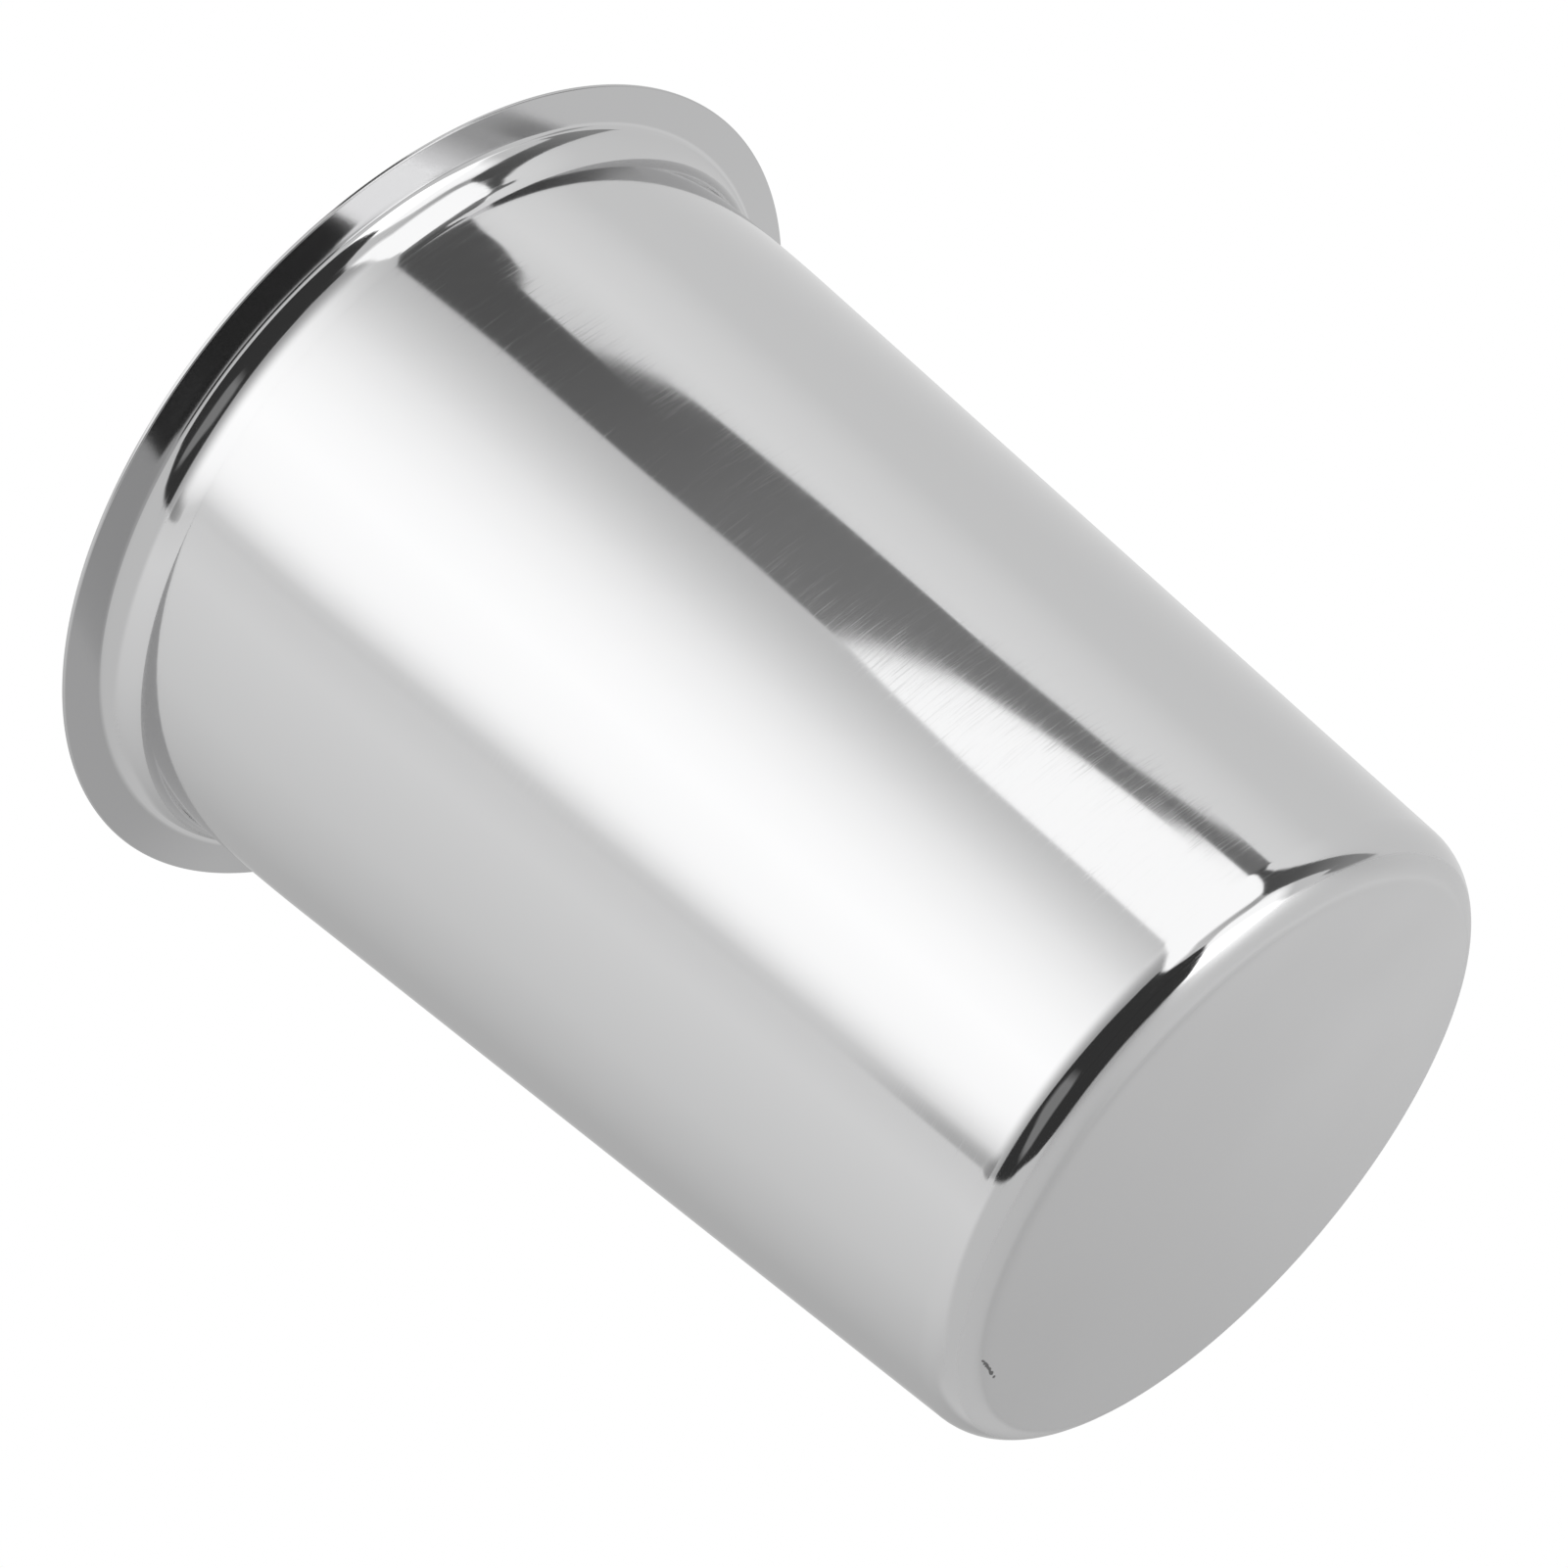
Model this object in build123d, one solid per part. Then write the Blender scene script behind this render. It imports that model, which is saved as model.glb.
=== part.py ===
"""Kitchen utensil holder: a tapered cup drawn in one piece from stainless steel sheet.

The cup stands upright on its flat base. Z is its axis of turning and points up through the
mouth, and the origin is the middle of the underside of the base. Sizes are millimetres.
"""
from build123d import *
import math
import os

# Sheet
sheet_thickness = 0.6
edge_chamfer = 0.15

# Height and widths of the finished cup
rim_height = 142.0
mouth_outer_diameter = 104.0
flange_overhang = 8.0

# Bends, taper and lip, all measured on the outside of the sheet
base_corner_radius = 6.5
wall_taper_degrees = 3.65
upright_blend_radius = 320.0
flare_radius = 6.5
flare_end_degrees = 50.0
lip_bend_radius = 1.5
lip_rise_degrees = 8.0


def lip_edge():
    """Lower corner of the cut edge, placed so that the chamfered rim keeps its full size."""
    slope = math.radians(lip_rise_degrees)
    chamfer_loss = edge_chamfer * math.sin(slope)
    radius = mouth_outer_diameter / 2 + flange_overhang + chamfer_loss
    height = rim_height + chamfer_loss - sheet_thickness * math.cos(slope)
    return Vector(radius, height)


def lip_line():
    """Straight conical lip, from its cut edge in to where the tight bend under it begins."""
    slope = math.radians(lip_rise_degrees)
    flare_end = math.radians(flare_end_degrees)
    flare_reach = flare_radius * (1 - math.cos(flare_end))
    bend_reach = lip_bend_radius * (math.cos(flare_end) - math.sin(slope))
    run = lip_edge().X - mouth_outer_diameter / 2 - flare_reach - bend_reach
    return Line(lip_edge(), lip_edge() - Vector(run, run * math.tan(slope)))


def wall_line(top):
    """Straight tapered wall, from a point at its top down to where the base corner begins."""
    taper = math.radians(wall_taper_degrees)
    drop = top.Y - base_corner_radius * (1 - math.sin(taper))
    return Line(top, top - Vector(drop * math.tan(taper), drop))


def outside_outline():
    """Outside of the sheet from lip to middle of base, each run tangent to the one before."""
    lip = lip_line()
    lip_bend_sweep = 90 - lip_rise_degrees - flare_end_degrees
    lip_bend = JernArc(lip @ 1, lip % 1, lip_bend_radius, lip_bend_sweep)
    flare = JernArc(lip_bend @ 1, lip_bend % 1, flare_radius, flare_end_degrees)
    blend = JernArc(flare @ 1, flare % 1, upright_blend_radius, -wall_taper_degrees)
    wall = wall_line(blend @ 1)
    corner = JernArc(wall @ 1, wall % 1, base_corner_radius, wall_taper_degrees - 90)
    floor = Line(corner @ 1, (0, 0))
    return Wire([lip, lip_bend, flare, blend, wall, corner, floor])


def sheet_section():
    """Half section of the drawn sheet: its outside outline, thickened inwards to one gauge."""
    band = offset(outside_outline(), amount=sheet_thickness, side=Side.RIGHT, closed=True)
    section = make_face(band.edges())
    rim_corners = section.vertices().sort_by(Axis.X)[-2:]
    return chamfer(rim_corners, edge_chamfer)


def utensil_cup():
    """The whole cup, turned once about its axis."""
    return revolve(Plane.XZ * sheet_section(), axis=Axis.Z, revolution_arc=360)


os.makedirs("parts", exist_ok=True)
cup = utensil_cup()
cup.label = "utensil_cup"
export_step(cup, "parts/utensil_cup.step")
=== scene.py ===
"""Looks of the kitchen utensil holder: one drawn cup of polished stainless steel.

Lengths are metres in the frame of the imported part: the cup stands on its base at the origin and
its mouth opens upwards along Z. The camera looks up at the cup from in front and below, as the
photograph does, so azimuths are measured from the camera's side, positive towards +X.
"""
import math

import bpy
from mathutils import Matrix, Vector


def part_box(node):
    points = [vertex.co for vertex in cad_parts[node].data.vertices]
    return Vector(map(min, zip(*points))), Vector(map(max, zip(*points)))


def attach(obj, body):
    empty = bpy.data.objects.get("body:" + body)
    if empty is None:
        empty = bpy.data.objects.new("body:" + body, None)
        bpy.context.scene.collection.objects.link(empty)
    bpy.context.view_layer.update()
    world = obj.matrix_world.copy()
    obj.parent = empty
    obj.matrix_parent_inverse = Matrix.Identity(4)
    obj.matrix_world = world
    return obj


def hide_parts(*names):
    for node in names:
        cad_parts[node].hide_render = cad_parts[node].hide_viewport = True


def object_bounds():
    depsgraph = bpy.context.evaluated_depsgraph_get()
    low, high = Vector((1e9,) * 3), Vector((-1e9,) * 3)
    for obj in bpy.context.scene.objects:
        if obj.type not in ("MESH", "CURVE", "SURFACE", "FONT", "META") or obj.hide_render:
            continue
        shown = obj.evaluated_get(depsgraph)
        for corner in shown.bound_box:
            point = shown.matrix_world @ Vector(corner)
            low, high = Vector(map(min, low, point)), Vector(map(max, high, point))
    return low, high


MM = 0.001

# Form of the sheet, as in the part's source
SHEET = 0.6 * MM
EDGE_ROUND = 0.2 * MM
FLANGE_OVERHANG = 8.0 * MM
BASE_CORNER = 6.5 * MM
TAPER = math.radians(3.65)
BLEND = 320.0 * MM
FLARE = 6.5 * MM
FLARE_END = math.radians(50)
LIP_BEND = 1.5 * MM
LIP_RISE = math.radians(8)

# Mesh
SEGMENTS = 384

# Camera
CAMERA_TARGET = Vector((0, 0, 0.0762))
CAMERA_DISTANCE = 0.625
CAMERA_ELEVATION = math.radians(-27.33)
CAMERA_ROLL = math.radians(49.87)
LENS = 117.16

# Steel
STEEL = (0.60, 0.60, 0.603, 1)
SATIN = (0.505, 0.505, 0.508, 1)
WALL_ROUGHNESS = (0.05, 0.07)
LIP_ROUGHNESS = (0.09, 0.12)
BASE_ROUGHNESS = (0.30, 0.36)
HAIR_ROUGHNESS = 0.14
WALL_RELIEF = 0.10
LIP_RELIEF = 0.03
RELIEF_DEPTH = 0.004 * MM

# Heights or radii at which each change of the steel starts, and at which it is complete
BASE_SATIN = (2.15 * MM, 1.7 * MM)
BASE_LEVEL = (0.6 * MM, 0.15 * MM)
LIP_SATIN = (55.0 * MM, 55.4 * MM)

# Noises, each with its scale per metre, its detail and its roughness; the lines' scale is their own
LINES_NOISE = (1.0, 3.0, 0.6)
GRAIN_NOISE = (5200.0, 2.0, 0.6)
BROAD_NOISE = (26.0, 3.0, 0.5)
NICK_NOISE = (1300.0, 2.0, 0.5)

# Scales of the polishing lines, per radian round the cup and per metre up it
LINES_ROUND = 7.0
LINES_UP = 8500.0

# Levels of noise between which the roughness changes, for the whole surface and for single hairs
BROAD_LEVELS = (0.3, 0.7)
HAIR_LEVELS = (0.50, 0.75)

# Nick near the edge of the base, a long thin mark that lies almost along Y
NICK_X = -35.6 * MM
NICK_Y = -16.0 * MM
NICK_SLANT = 0.16
NICK_HALF_LENGTH = 3.0 * MM
NICK_HALF_WIDTH = 0.24 * MM
NICK_LEVELS = (0.35, 0.65)
NICK_RAGGED = (-0.35, 0.35)
NICK_EDGE = (1.1, 0.6)
NICK_COLOUR = (0.12, 0.12, 0.12, 1)

# Studio cards, as patches of spheres round the middle of the cup, in steps of so many degrees
STUDIO_CENTRE = Vector((0, 0, 70 * MM))
ROW_STEP = 4
COLUMN_STEP = 3
WIDEST_SOFT_SHARE = 0.4

# Floor and daylight
FLOOR_REACH = 30.0
FLOOR_LEVEL = -0.05 * MM
WORLD_ON_FLOOR = 0.75
WORLD_SHOWN = 1.0


# Section of the cup

def run(start, end, normal, steps):
    """Points along a straight stretch of the section, each with its normal; the end is left out."""
    points = []
    for i in range(steps):
        t = i / steps
        radius = start[0] + (end[0] - start[0]) * t
        height = start[1] + (end[1] - start[1]) * t
        points.append((radius, height, *normal))
    return points


def bend(centre, radius, first, last, steps, hollow=False):
    """Points along an arc from one angle to another, with normals; hollow ones face its centre."""
    points = []
    side = -1 if hollow else 1
    for i in range(steps + 1):
        angle = first + (last - first) * i / steps
        across = math.cos(angle)
        up = math.sin(angle)
        points.append((centre[0] + radius * across, centre[1] + radius * up, side * across, side * up))
    return points


def section(rim_radius, rim_height):
    """Section of the sheet, from the middle of the base's underside out, over the rim and back."""
    sin_lip = math.sin(LIP_RISE)
    cos_lip = math.cos(LIP_RISE)
    sin_end = math.sin(FLARE_END)
    cos_end = math.cos(FLARE_END)
    mouth = rim_radius - FLANGE_OVERHANG

    # Lip and the tight bend under it
    round_loss = EDGE_ROUND * (cos_lip + sin_lip - 1)
    edge = (rim_radius + round_loss, rim_height + round_loss - SHEET * cos_lip)
    lip_down = (sin_lip, -cos_lip)
    lip_up = (-sin_lip, cos_lip)
    root_radius = mouth + FLARE * (1 - cos_end) + LIP_BEND * (cos_end - sin_lip)
    root_height = edge[1] - (edge[0] - root_radius) * math.tan(LIP_RISE)
    lip_root = (root_radius, root_height)
    lip_bend_centre = (lip_root[0] + LIP_BEND * sin_lip, lip_root[1] - LIP_BEND * cos_lip)
    lip_turn = (math.pi - FLARE_END, math.pi / 2 + LIP_RISE)

    # Rounded cut edge
    lip_end = (edge[0] - EDGE_ROUND * cos_lip, edge[1] - EDGE_ROUND * sin_lip)
    low_round = (lip_end[0] + EDGE_ROUND * lip_up[0], lip_end[1] + EDGE_ROUND * lip_up[1])
    rise = SHEET - EDGE_ROUND
    high_round = (lip_end[0] + rise * lip_up[0], lip_end[1] + rise * lip_up[1])
    down_angle = LIP_RISE - math.pi / 2

    # Flare, and the blend that turns the wall upright under it
    flare_end_height = lip_bend_centre[1] + LIP_BEND * sin_end
    flare_centre = (mouth + FLARE, flare_end_height - FLARE * sin_end)
    flare_turn = (math.pi, math.pi - FLARE_END)
    blend_centre = (mouth - BLEND, flare_centre[1])

    # Wall and the base's corner
    down = (0, -1)
    out = (math.cos(TAPER), -math.sin(TAPER))
    blend_foot = (blend_centre[0] + BLEND * out[0], blend_centre[1] + BLEND * out[1])
    wall_foot_height = BASE_CORNER * (1 - math.sin(TAPER))
    wall_narrowing = (blend_foot[1] - wall_foot_height) * math.tan(TAPER)
    wall_foot = (blend_foot[0] - wall_narrowing, wall_foot_height)
    corner_centre = (wall_foot[0] - BASE_CORNER * math.cos(TAPER), BASE_CORNER)

    # Outside of the sheet, up to and round the cut edge
    outer = run((0, 0), (corner_centre[0], 0), down, 12)
    outer += bend(corner_centre, BASE_CORNER, -math.pi / 2, -TAPER, 16)[:-1]
    outer += run(wall_foot, blend_foot, out, 16)
    outer += bend(blend_centre, BLEND, -TAPER, 0, 10)[:-1]
    outer += bend(flare_centre, FLARE, *flare_turn, 14, hollow=True)[:-1]
    outer += bend(lip_bend_centre, LIP_BEND, *lip_turn, 8, hollow=True)[:-1]
    outer += run(lip_root, lip_end, lip_down, 8)
    outer += bend(low_round, EDGE_ROUND, down_angle, LIP_RISE, 5)
    outer += bend(high_round, EDGE_ROUND, LIP_RISE, LIP_RISE + math.pi / 2, 5)

    # Inside of the sheet, up to the cut edge
    inner_out = (-out[0], -out[1])
    inner_foot = (wall_foot[0] - SHEET * out[0], wall_foot[1] - SHEET * out[1])
    inner_blend = (blend_foot[0] - SHEET * out[0], blend_foot[1] - SHEET * out[1])
    inner_root = (lip_root[0] + SHEET * lip_up[0], lip_root[1] + SHEET * lip_up[1])
    lip_top = (lip_end[0] + SHEET * lip_up[0], lip_end[1] + SHEET * lip_up[1])
    inner = run((0, SHEET), (corner_centre[0], SHEET), (0, 1), 10)
    inner += bend(corner_centre, BASE_CORNER - SHEET, -math.pi / 2, -TAPER, 12, hollow=True)[:-1]
    inner += run(inner_foot, inner_blend, inner_out, 12)
    inner += bend(blend_centre, BLEND - SHEET, -TAPER, 0, 8, hollow=True)[:-1]
    inner += bend(flare_centre, FLARE + SHEET, *flare_turn, 12)[:-1]
    inner += bend(lip_bend_centre, LIP_BEND + SHEET, *lip_turn, 8)[:-1]
    inner += run(inner_root, lip_top, lip_up, 6)
    return outer + inner[::-1]


def turned_mesh(name, points):
    """Mesh of a section turned once about Z, with the true normals of the turned surface."""
    vertices = []
    normals = []
    rings = []
    for radius, height, across, up in points:
        count = 1 if radius < 1e-9 else SEGMENTS
        rings.append((len(vertices), count))
        for k in range(count):
            angle = 2 * math.pi * k / SEGMENTS
            vertices.append((radius * math.cos(angle), radius * math.sin(angle), height))
            normals.append((across * math.cos(angle), across * math.sin(angle), up))
    faces = []
    for (a, a_count), (b, b_count) in zip(rings, rings[1:]):
        for k in range(SEGMENTS):
            after = (k + 1) % SEGMENTS
            if a_count == 1:
                faces.append((a, b + after, b + k))
            elif b_count == 1:
                faces.append((a + k, a + after, b))
            else:
                faces.append((a + k, a + after, b + after, b + k))
    mesh = bpy.data.meshes.new(name)
    mesh.from_pydata(vertices, [], faces)
    mesh.shade_smooth()
    mesh.validate()
    mesh.normals_split_custom_set_from_vertices(normals)
    return mesh


# Helpers

def new_object(name, data):
    """New object, put in the scene."""
    made = bpy.data.objects.new(name, data)
    bpy.context.scene.collection.objects.link(made)
    return made


class Nodes:
    """Short hand for the nodes of one material or world."""

    def __init__(self, tree):
        self.tree = tree
        tree.nodes.clear()

    def add(self, kind, settings=None, **inputs):
        """New node; an input is named with underscores for spaces, and takes a number or a socket."""
        node = self.tree.nodes.new(kind)
        for key, value in (settings or {}).items():
            setattr(node, key, value)
        for key, value in inputs.items():
            self.put(node.inputs[key.replace("_", " ")], value)
        return node

    def put(self, socket, value):
        """Link or set one input."""
        if isinstance(value, bpy.types.NodeSocket):
            self.tree.links.new(value, socket)
        else:
            socket.default_value = value

    def maths(self, operation, *values, clamp=False):
        """Result of one operation on one or two numbers."""
        node = self.add("ShaderNodeMath", {"operation": operation, "use_clamp": clamp})
        for socket, value in zip(node.inputs, values):
            self.put(socket, value)
        return node.outputs[0]

    def ramp(self, value, low, high, to_low=0.0, to_high=1.0):
        """Smooth step of a value from one level to another."""
        settings = {"interpolation_type": "SMOOTHSTEP"}
        span = {"From_Min": low, "From_Max": high, "To_Min": to_low, "To_Max": to_high}
        return self.add("ShaderNodeMapRange", settings, Value=value, **span).outputs[0]

    def mix(self, kind, share, first, second):
        """Mix of two numbers, vectors or colours; each kind has its own sockets on the node."""
        sockets = {"FLOAT": (2, 3, 0), "VECTOR": (4, 5, 1), "RGBA": (6, 7, 2)}
        node = self.add("ShaderNodeMix", {"data_type": kind}, Factor=share)
        a, b, result = sockets[kind]
        self.put(node.inputs[a], first)
        self.put(node.inputs[b], second)
        return node.outputs[result]

    def vector(self, operation, value):
        """Length of a vector, or its direction."""
        node = self.add("ShaderNodeVectorMath", {"operation": operation})
        self.put(node.inputs[0], value)
        return node.outputs["Value" if operation == "LENGTH" else "Vector"]

    def noise(self, place, scale, detail, roughness):
        """Level of a noise at a place."""
        settings = {"Vector": place, "Scale": scale, "Detail": detail, "Roughness": roughness}
        return self.add("ShaderNodeTexNoise", **settings).outputs[0]


def material(name):
    """New material and its nodes."""
    made = bpy.data.materials.new(name)
    made.use_nodes = True
    return made, Nodes(made.node_tree)


# Steel

def polishing_lines(n, across, height):
    """Noise drawn out into fine lines that run round the cup."""
    around = n.add("ShaderNodeSeparateXYZ", Vector=n.vector("NORMALIZE", across))
    lines_at = n.add(
        "ShaderNodeCombineXYZ",
        X=n.maths("MULTIPLY", around.outputs["X"], LINES_ROUND),
        Y=n.maths("MULTIPLY", around.outputs["Y"], LINES_ROUND),
        Z=n.maths("MULTIPLY", height, LINES_UP),
    )
    return n.noise(lines_at.outputs[0], *LINES_NOISE)


def nick(n, place, split):
    """Share of the nick at a place: a ragged thin mark on the base."""
    along = n.maths("SUBTRACT", split.outputs["Y"], NICK_Y)
    across = n.maths("SUBTRACT", split.outputs["X"], NICK_X)
    across = n.maths("ADD", across, n.maths("MULTIPLY", along, NICK_SLANT))
    spot = n.add(
        "ShaderNodeCombineXYZ",
        X=n.maths("DIVIDE", across, NICK_HALF_WIDTH),
        Y=n.maths("DIVIDE", along, NICK_HALF_LENGTH),
    )
    reach = n.vector("LENGTH", spot.outputs[0])
    uneven = n.ramp(n.noise(place, *NICK_NOISE), *NICK_LEVELS, *NICK_RAGGED)
    return n.ramp(n.maths("ADD", reach, uneven), *NICK_EDGE)


def levelled_normal(n, height):
    """Normal turned to straight up or down on the lowest part of the base's corner."""
    facing = n.add("ShaderNodeNewGeometry").outputs["Normal"]
    upwards = n.add("ShaderNodeSeparateXYZ", Vector=facing).outputs["Z"]
    level = n.add("ShaderNodeCombineXYZ", Z=n.maths("SIGN", upwards)).outputs[0]
    mixed = n.mix("VECTOR", n.ramp(height, *BASE_LEVEL), facing, level)
    return n.vector("NORMALIZE", mixed)


def steel():
    """Polished steel: mirror wall with lines that run round it, satin base and lip."""
    made, n = material("polished_steel")
    place = n.add("ShaderNodeTexCoord").outputs["Object"]
    split = n.add("ShaderNodeSeparateXYZ", Vector=place)
    height = split.outputs["Z"]
    across = n.add("ShaderNodeCombineXYZ", X=split.outputs["X"], Y=split.outputs["Y"]).outputs[0]
    on_base = n.ramp(height, *BASE_SATIN)
    on_lip = n.ramp(n.vector("LENGTH", across), *LIP_SATIN)
    lines = polishing_lines(n, across, height)
    grain = n.noise(place, *GRAIN_NOISE)
    broad = n.noise(place, *BROAD_NOISE)
    hairs = n.ramp(lines, *HAIR_LEVELS, 0.0, HAIR_ROUGHNESS)
    rough = n.ramp(broad, *BROAD_LEVELS, *WALL_ROUGHNESS)
    rough = n.maths("ADD", rough, n.maths("MULTIPLY", hairs, broad))
    rough = n.mix("FLOAT", on_lip, rough, n.ramp(broad, *BROAD_LEVELS, *LIP_ROUGHNESS))
    rough = n.mix("FLOAT", on_base, rough, n.ramp(broad, *BROAD_LEVELS, *BASE_ROUGHNESS))
    relief = n.add(
        "ShaderNodeBump",
        Strength=n.ramp(on_lip, 0.0, 1.0, WALL_RELIEF, LIP_RELIEF),
        Distance=RELIEF_DEPTH,
        Height=n.mix("FLOAT", on_base, lines, grain),
        Normal=levelled_normal(n, height),
    )
    tint = n.mix("RGBA", on_lip, STEEL, SATIN)
    marked = n.maths("MULTIPLY", on_base, nick(n, place, split))
    tint = n.mix("RGBA", marked, tint, NICK_COLOUR)
    shader = n.add(
        "ShaderNodeBsdfPrincipled",
        Base_Color=tint,
        Metallic=1.0,
        Roughness=rough,
        Normal=relief.outputs[0],
    )
    n.add("ShaderNodeOutputMaterial", Surface=shader.outputs[0])
    return made


def make_cup():
    """The cup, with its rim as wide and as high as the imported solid's."""
    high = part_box("utensil_cup")[1]
    mesh = turned_mesh("drawn_cup", section(high.x, high.z))
    mesh.materials.append(steel())
    cup = new_object("drawn_cup", mesh)
    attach(cup, "root")
    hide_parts("utensil_cup")


# Studio

def direction(azimuth, elevation):
    """Unit vector towards an azimuth and an elevation in degrees."""
    a = math.radians(azimuth)
    e = math.radians(elevation)
    return Vector((math.sin(a) * math.cos(e), -math.cos(a) * math.cos(e), math.sin(e)))


def between(stops, place):
    """Value of a broken line at one place along it; each stop is a place and its values."""
    if place <= stops[0][0]:
        return stops[0][1:]
    for low, high in zip(stops, stops[1:]):
        if place <= high[0]:
            t = (place - low[0]) / (high[0] - low[0])
            return tuple(p + (q - p) * t for p, q in zip(low[1:], high[1:]))
    return stops[-1][1:]


def in_steps(places, widest):
    """The places in order, with more put between them so that no gap is wider than this."""
    places = sorted(set(places))
    spread = [places[0]]
    for low, high in zip(places, places[1:]):
        count = max(1, math.ceil((high - low) / widest))
        spread += [low + (high - low) * (i + 1) / count for i in range(count)]
    return spread


class Shape:
    """Patch of light or dark in the studio, drawn over azimuth and elevation.

    Each row is one elevation, in degrees, with the azimuths of the patch's left and right edges
    there. The glow is one level, or stops along azimuth, or stops along elevation. The patch fades
    in over so many degrees at its left and right sides, and at its lower and upper ends.
    """

    def __init__(self, rows, glow, sides=(1, 1), ends=(1, 1), glow_by_azimuth=True):
        self.rows = rows
        self.glow = glow
        self.sides = sides
        self.ends = ends
        self.glow_by_azimuth = glow_by_azimuth
        self.low = rows[0][0]
        self.high = rows[-1][0]

    def cover(self, azimuth, elevation):
        """How solid the patch is at a place, from 0 to 1."""
        left, right = between(self.rows, elevation)
        shares = (
            (azimuth - left, self.sides[0]),
            (right - azimuth, self.sides[1]),
            (elevation - self.low, self.ends[0]),
            (self.high - elevation, self.ends[1]),
        )
        cover = 1.0
        for gap, soft in shares:
            cover *= min(max(gap / soft, 0.0), 1.0) if soft else 1.0
        return cover * cover * (3 - 2 * cover)

    def light(self, azimuth, elevation):
        """How bright the patch is at a place."""
        if isinstance(self.glow, float):
            return self.glow
        return between(self.glow, azimuth if self.glow_by_azimuth else elevation)[0]


def glow_material(name):
    """Card's material: it adds the card's light, and lets through what the card doesn't cover."""
    made, n = material(name)
    levels = n.add("ShaderNodeAttribute", {"attribute_name": "levels"})
    split = n.add("ShaderNodeSeparateXYZ", Vector=levels.outputs["Vector"])
    glow = n.add("ShaderNodeEmission", Strength=split.outputs[0])
    clear = n.add("ShaderNodeBsdfTransparent", Color=n.maths("SUBTRACT", 1.0, split.outputs[1]))
    both = n.add("ShaderNodeAddShader")
    n.put(both.inputs[0], glow.outputs[0])
    n.put(both.inputs[1], clear.outputs[0])
    n.add("ShaderNodeOutputMaterial", Surface=both.outputs[0])
    made.cycles.emission_sampling = "NONE"
    return made


def card_object(name, grid, distance):
    """Card from a grid of azimuth, elevation, light and cover; it is seen only in the steel."""
    columns = len(grid[0])
    cells = [cell for row in grid for cell in row]
    vertices = [STUDIO_CENTRE + direction(cell[0], cell[1]) * distance for cell in cells]
    faces = []
    for j in range(len(grid) - 1):
        for i in range(columns - 1):
            a = j * columns + i
            faces.append((a, a + columns, a + columns + 1, a + 1))
    mesh = bpy.data.meshes.new(name)
    mesh.from_pydata(vertices, [], faces)
    levels = mesh.attributes.new("levels", "FLOAT_VECTOR", "POINT")
    for k, cell in enumerate(cells):
        levels.data[k].vector = (cell[2], cell[3], 0)
    mesh.materials.append(glow_material(name))
    made_card = new_object(name, mesh)
    made_card.visible_camera = False
    made_card.visible_diffuse = False
    made_card.visible_transmission = False
    made_card.visible_volume_scatter = False
    made_card.visible_shadow = False


def card(name, distance, shape):
    """One patch as a card curved round the cup; a nearer card covers a farther one."""
    low = shape.low
    high = shape.high
    base, top = shape.ends
    ends = [low, low + base / 2, low + base, high - top, high - top / 2, high]
    elevations = in_steps(in_steps(ends, ROW_STEP) + [row[0] for row in shape.rows], ROW_STEP)
    widest = max(row[2] - row[1] for row in shape.rows)
    count = max(2, math.ceil(widest / COLUMN_STEP))
    grid = []
    for elevation in elevations:
        left, right = between(shape.rows, elevation)
        soft_left = min(shape.sides[0], (right - left) * WIDEST_SOFT_SHARE)
        soft_right = min(shape.sides[1], (right - left) * WIDEST_SOFT_SHARE)
        start = left + soft_left
        stop = right - soft_right
        azimuths = [left, left + soft_left / 2]
        azimuths += [start + (stop - start) * i / count for i in range(count + 1)]
        azimuths += [right - soft_right / 2, right]
        row = []
        for azimuth in azimuths:
            cover = shape.cover(azimuth, elevation)
            row.append((azimuth, elevation, shape.light(azimuth, elevation) * cover, cover))
        grid.append(row)
    card_object(name, grid, distance)


def make_surround():
    """Pale surround, with a slightly darker ground below it."""
    surround_glow = [
        (-180, 0.62), (-160, 0.50), (-140, 0.60), (-120, 0.75), (-98, 0.89), (-62, 1.02),
        (-46, 0.94), (40, 0.94), (62, 1.0), (74, 1.08), (88, 1.0), (100, 0.88), (120, 0.84),
        (165, 0.80), (180, 0.62),
    ]
    surround_rows = [(-90, -180, 180), (90, -180, 180)]
    card("surround", 4.4, Shape(surround_rows, surround_glow, (0, 0), (0, 0)))
    ground_glow = [
        (-180, 0.58), (-164, 0.62), (-144, 0.76), (-60, 0.80), (80, 0.82), (144, 0.85),
        (164, 0.92), (180, 0.98),
    ]
    ground_rows = [(-90, -180, 180), (-13, -180, 180)]
    card("ground", 4.3, Shape(ground_rows, ground_glow, (0, 0), (0, 9)))
    ground_left_rows = [(-30, -172, -104), (3, -172, -124)]
    card("ground_left", 4.2, Shape(ground_left_rows, 0.77, (6, 12), (6, 9)))


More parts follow.
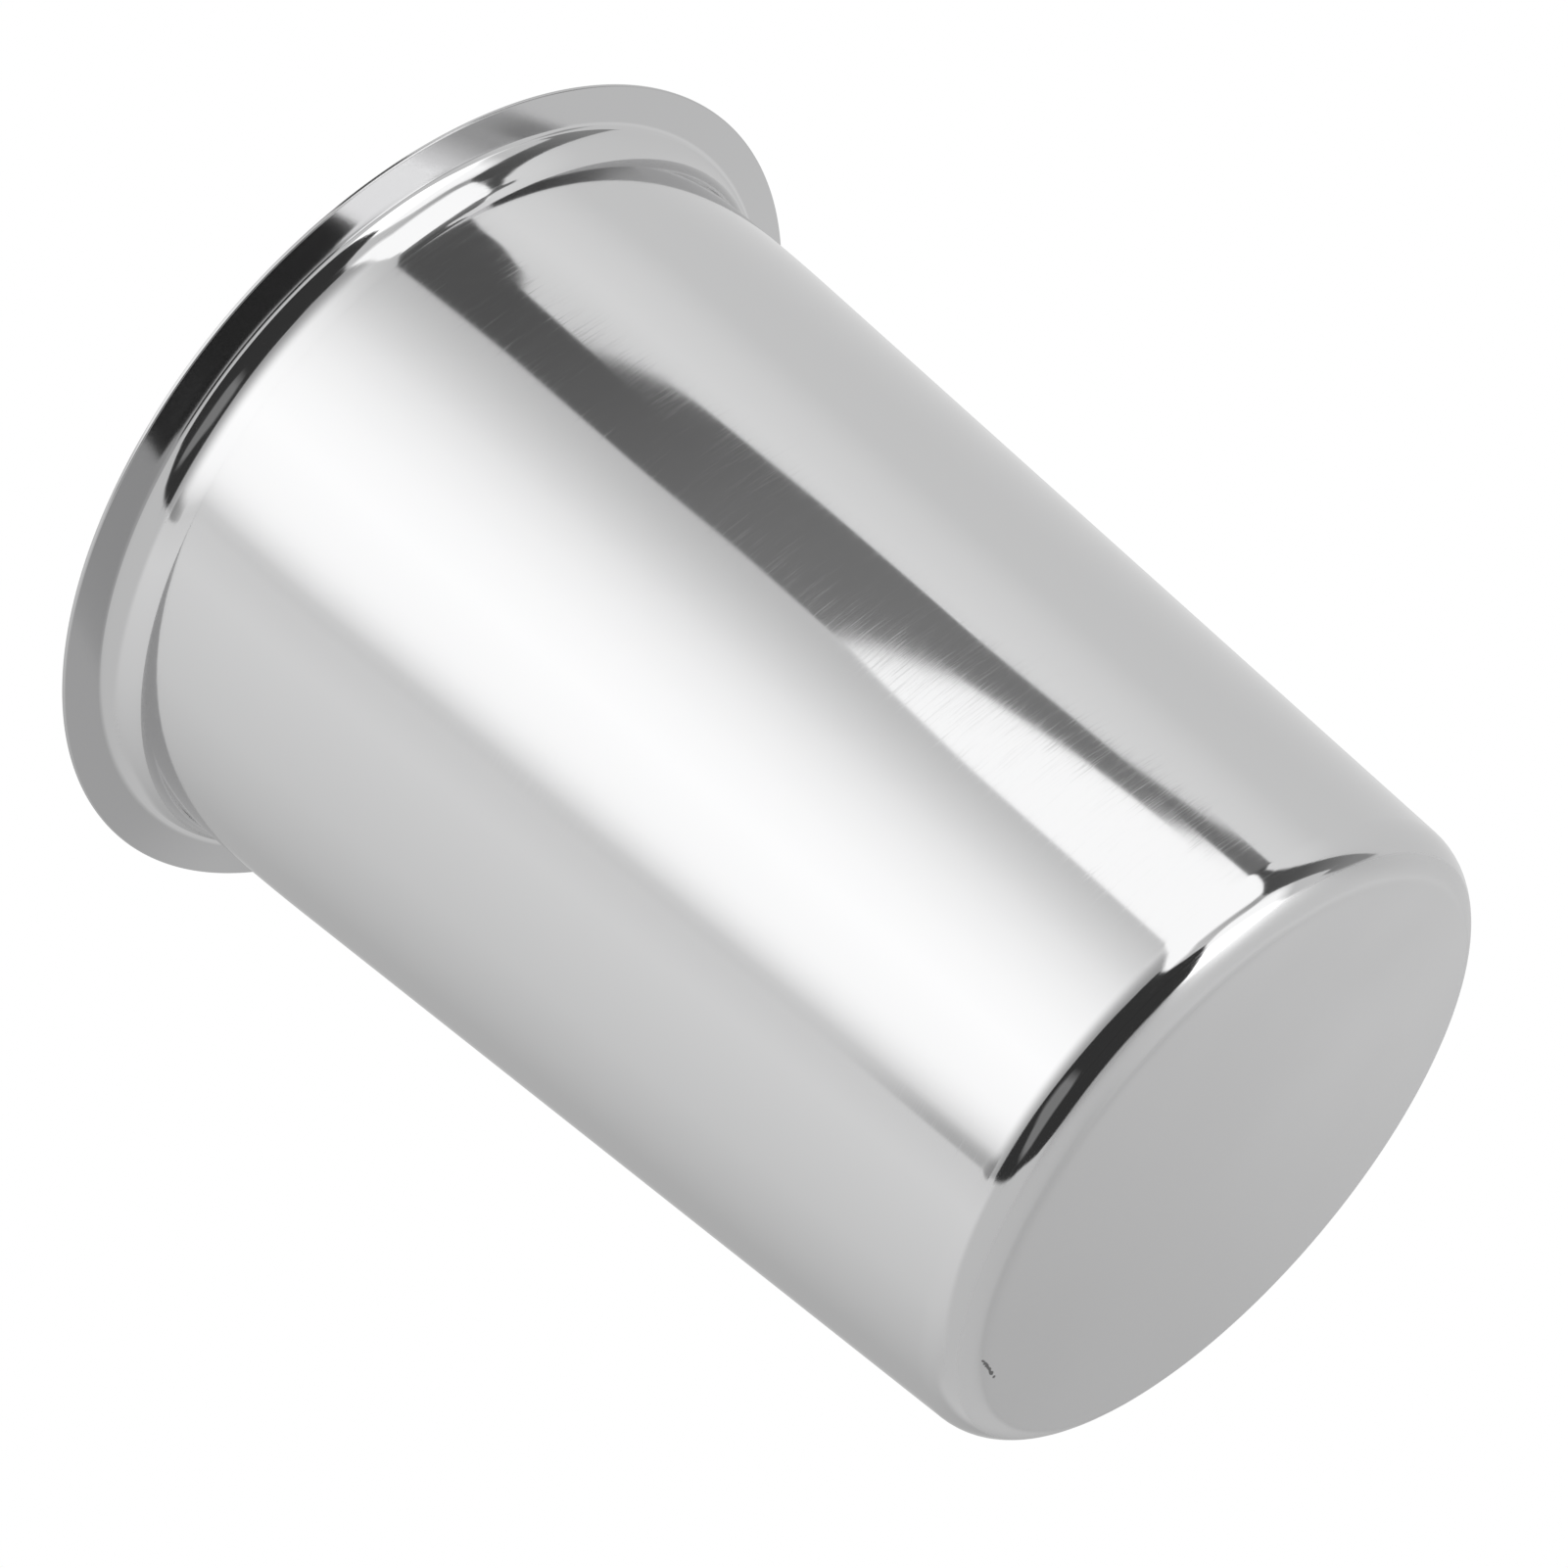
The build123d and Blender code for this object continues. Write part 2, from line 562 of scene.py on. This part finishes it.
def make_bright_block():
    """White block to the right, far off: two parts, a darker foot between them and a fading end."""
    block_rows = [
        (-30, 30, 58), (-27, 28, 62), (-24, 26, 66), (-20, 26, 71), (10, 26, 71.5), (15, 26, 72),
        (21.5, 26, 70),
    ]
    card("block", 4.0, Shape(block_rows, 1.57, (0.6, 0.6), (5, 0.6)))
    low_block_glow = [(-62, 2.0), (-51, 2.4), (-44, 2.4), (-41, 1.57), (-32, 1.55), (-27, 1.2)]
    low_block_rows = [
        (-68, 58, 76), (-62, 46, 94), (-56, 42, 96), (-50, 42, 93), (-44, 42, 92), (-38, 46, 90),
        (-33, 52, 88), (-29, 62, 86), (-26, 72, 84),
    ]
    card("low_block", 3.9, Shape(low_block_rows, low_block_glow, (3, 8), (6, 3), False))
    block_foot_glow = [(46, 0.80), (58, 0.65), (68, 0.50)]
    block_foot_rows = [(-33, 42, 66), (-30, 40, 72), (-25, 40, 76), (-22, 40, 76)]
    card("block_foot", 3.87, Shape(block_foot_rows, block_foot_glow, (4, 4), (4, 4)))
    lip_fade_glow = [(84, 2.1), (96, 1.4), (104, 0.95), (112, 0.75)]
    lip_fade_rows = [(-52, 82, 112), (-42, 82, 112)]
    card("lip_fade", 3.85, Shape(lip_fade_rows, lip_fade_glow, (5, 5), (2, 2)))


def make_dark_flags():
    """Dark flag, bar and wedge beside and above the block, and a grey patch seen in the lip."""
    bar_rows = [(-22, 70, 78), (2, 70, 76), (8, 70.5, 75), (14, 70.5, 78)]
    card("bar", 3.8, Shape(bar_rows, 0.10, (0.7, 1.2), (2, 0.5)))
    wedge_glow = [(70, 0.10), (88, 0.14), (100, 0.24), (112, 0.34), (125, 0.38)]
    wedge_rows = [
        (-35, 102, 114), (-31, 104, 119), (-26.5, 72, 123), (-23, 70, 124), (-20, 70, 108),
        (-17, 70, 96), (-13, 70, 88), (-8, 70, 82), (0, 70, 77),
    ]
    card("wedge", 3.7, Shape(wedge_rows, wedge_glow, (1, 3), (1, 1.5)))
    flag_glow = [
        (12, 0.15), (15.5, 0.26), (19.5, 0.27), (22, 0.25), (24.5, 0.19), (27.5, 0.125), (60, 0.125),
    ]
    flag_rows = [
        (11, 70, 78), (14.5, 68.5, 78), (15, 64, 75), (16.5, 61.5, 71), (18.5, 55, 69.5),
        (19.5, 46.5, 69), (20, 34, 69), (22.5, 34, 68.5), (25, 34, 66.5), (25.5, 34, 65),
        (26, 34, 61.5), (26.5, 34, 56.5), (30, 34, 57.5), (31, 34, 62), (33, 34, 65), (80, 34, 66),
    ]
    card("flag", 1.3, Shape(flag_rows, flag_glow, (0.5, 0.5), (0.5, 3), False))
    flag_top_rows = [(38.5, 44, 60.5), (45, 44, 60.5)]
    card("flag_top", 0.30, Shape(flag_top_rows, 0.14, (1, 0.8), (0.8, 1)))
    patch_rows = [(-41, 108, 141), (-35, 111, 143)]
    card("patch", 0.58, Shape(patch_rows, 0.42, (6, 12), (2, 2)))


def make_softbox():
    """Large softbox in front, near the cup, with a grey foot and a thin dark line at its left."""
    softbox_foot_rows = [(-26, -48, 29), (-20, -48, 30.5), (-8, -48, 33), (10, -48, 34)]
    card("softbox_foot", 0.66, Shape(softbox_foot_rows, 0.5, (1.5, 2), (1, 16)))
    softbox_glow = [
        (-50, 0.99), (-46, 0.93), (-44, 0.94), (-42, 1.02), (-40, 1.2), (-38, 1.32), (-34, 1.5),
        (-30, 1.57), (-14, 1.64), (-2, 1.57), (8, 1.45), (16, 1.30), (24, 1.08), (32, 0.90), (38, 0.80),
    ]
    softbox_rows = [
        (-20, -50, 30.5), (-8, -50, 33), (5, -50, 34), (9, -50, 35), (12, -50, 36),
        (15, -50, 36.5), (17.5, -50, 38.5), (18.5, -50, 40), (21.5, -50, 40.5), (24, -50, 39.5),
        (36, -50, 39.5), (80, -50, 42),
    ]
    card("softbox", 0.655, Shape(softbox_rows, softbox_glow, (1.5, 0.8), (30, 4)))
    dark_line_glow = [(-10, 0.35), (0, 0.45), (6, 0.52), (9, 0.60), (13, 0.72)]
    dark_line_rows = [(-8, -48.5, -39), (0, -48.5, -39.5), (9, -48, -40.5), (13.5, -47.5, -41)]
    card("dark_line", 0.64, Shape(dark_line_rows, dark_line_glow, (0.8, 5), (2, 2.5), False))


def make_dark_front():
    """Dark front below the softbox, with a grey streak in it and a nearer part lower down."""
    dark_front_rows = [
        (-60, -36, 44), (-56, -40, 46), (-50, -46, 47), (-44, -48, 48), (-38, -50, 47),
        (-35, -50, 38), (-30, -50, 31), (-21, -49, 28), (-19.5, -49, 8), (-17, -48, -15),
        (-15, -47, -30),
    ]
    card("dark_front", 0.60, Shape(dark_front_rows, 0.05, (2, 1.5), (2, 2)))
    streak_rows = [(-42, -40, -12), (-37, -44, -8), (-32, -40, -8), (-27, -30, -8), (-21, -26, -12)]
    card("streak", 0.59, Shape(streak_rows, 0.29, (5, 5), (3, 5)))
    dark_low_rows = [(-64, -26, 24), (-61, -36, 34), (-56, -43, 42), (-50, -44, 44), (-44, -42, 42)]
    card("dark_low", 0.30, Shape(dark_low_rows, 0.05, (2, 2), (1.5, 3)))


def make_floor():
    """Pale floor that the cup stands on, seen only from above."""
    mesh = bpy.data.meshes.new("floor")
    corners = [(-1, -1), (1, -1), (1, 1), (-1, 1)]
    vertices = [(x * FLOOR_REACH, y * FLOOR_REACH, FLOOR_LEVEL) for x, y in corners]
    mesh.from_pydata(vertices, [], [(0, 1, 2, 3)])
    made, n = material("floor")
    pale = n.add("ShaderNodeBsdfDiffuse", Color=(0.9, 0.9, 0.9, 1))
    clear = n.add("ShaderNodeBsdfTransparent")
    side = n.add("ShaderNodeNewGeometry").outputs["Backfacing"]
    both = n.add("ShaderNodeMixShader", Fac=side)
    n.put(both.inputs[1], pale.outputs[0])
    n.put(both.inputs[2], clear.outputs[0])
    n.add("ShaderNodeOutputMaterial", Surface=both.outputs[0])
    mesh.materials.append(made)
    floor = new_object("floor", mesh)
    floor.visible_glossy = False
    floor.visible_shadow = False


def make_world():
    """White backdrop, which lights the floor a little less than it shows."""
    world = bpy.data.worlds.new("studio")
    bpy.context.scene.world = world
    world.use_nodes = True
    n = Nodes(world.node_tree)
    path = n.add("ShaderNodeLightPath").outputs
    shown = n.maths("ADD", path["Is Camera Ray"], path["Is Glossy Ray"])
    shown = n.maths("ADD", shown, path["Is Transmission Ray"], clamp=True)
    level = n.ramp(shown, 0.0, 1.0, WORLD_ON_FLOOR, WORLD_SHOWN)
    sky = n.add("ShaderNodeBackground", Color=(1, 1, 1, 1), Strength=level)
    n.add("ShaderNodeOutputWorld", Surface=sky.outputs[0])


def make_lamp():
    """Broad soft lamp above, which lays the cup's shadow on the floor."""
    data = bpy.data.lights.new("overhead", "AREA")
    data.size = 1.2
    data.energy = 9.0
    lamp = new_object("overhead", data)
    lamp.location = (-0.5, -0.4, 1.5)
    lamp.rotation_euler = (-lamp.location).to_track_quat("-Z", "Y").to_euler()
    lamp.visible_glossy = False


def make_camera():
    """Camera below and in front of the cup, rolled as in the photograph."""
    data = bpy.data.cameras.new("camera")
    data.sensor_width = 36.0
    data.lens = LENS
    data.clip_start = 0.01
    data.clip_end = 50.0
    camera = new_object("camera", data)
    e = CAMERA_ELEVATION
    back = Vector((0, -math.cos(e), math.sin(e)))
    level_right = Vector((1, 0, 0))
    level_up = Vector((0, math.sin(e), math.cos(e)))
    right = math.cos(CAMERA_ROLL) * level_right - math.sin(CAMERA_ROLL) * level_up
    up = math.sin(CAMERA_ROLL) * level_right + math.cos(CAMERA_ROLL) * level_up
    turn = Matrix((right, up, back)).transposed().to_4x4()
    camera.matrix_world = Matrix.Translation(CAMERA_TARGET + back * CAMERA_DISTANCE) @ turn
    bpy.context.scene.camera = camera


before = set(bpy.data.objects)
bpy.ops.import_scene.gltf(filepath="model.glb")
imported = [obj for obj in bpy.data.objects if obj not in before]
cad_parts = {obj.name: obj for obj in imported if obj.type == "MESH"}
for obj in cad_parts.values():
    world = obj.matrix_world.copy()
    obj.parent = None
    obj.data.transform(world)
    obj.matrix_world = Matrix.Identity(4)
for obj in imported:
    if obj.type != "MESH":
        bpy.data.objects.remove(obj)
cad_box = [corner.copy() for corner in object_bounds()]
make_camera()
make_cup()
make_surround()
make_bright_block()
make_dark_flags()
make_softbox()
make_dark_front()
make_floor()
make_world()
make_lamp()
bpy.context.scene.view_settings.view_transform = "Standard"
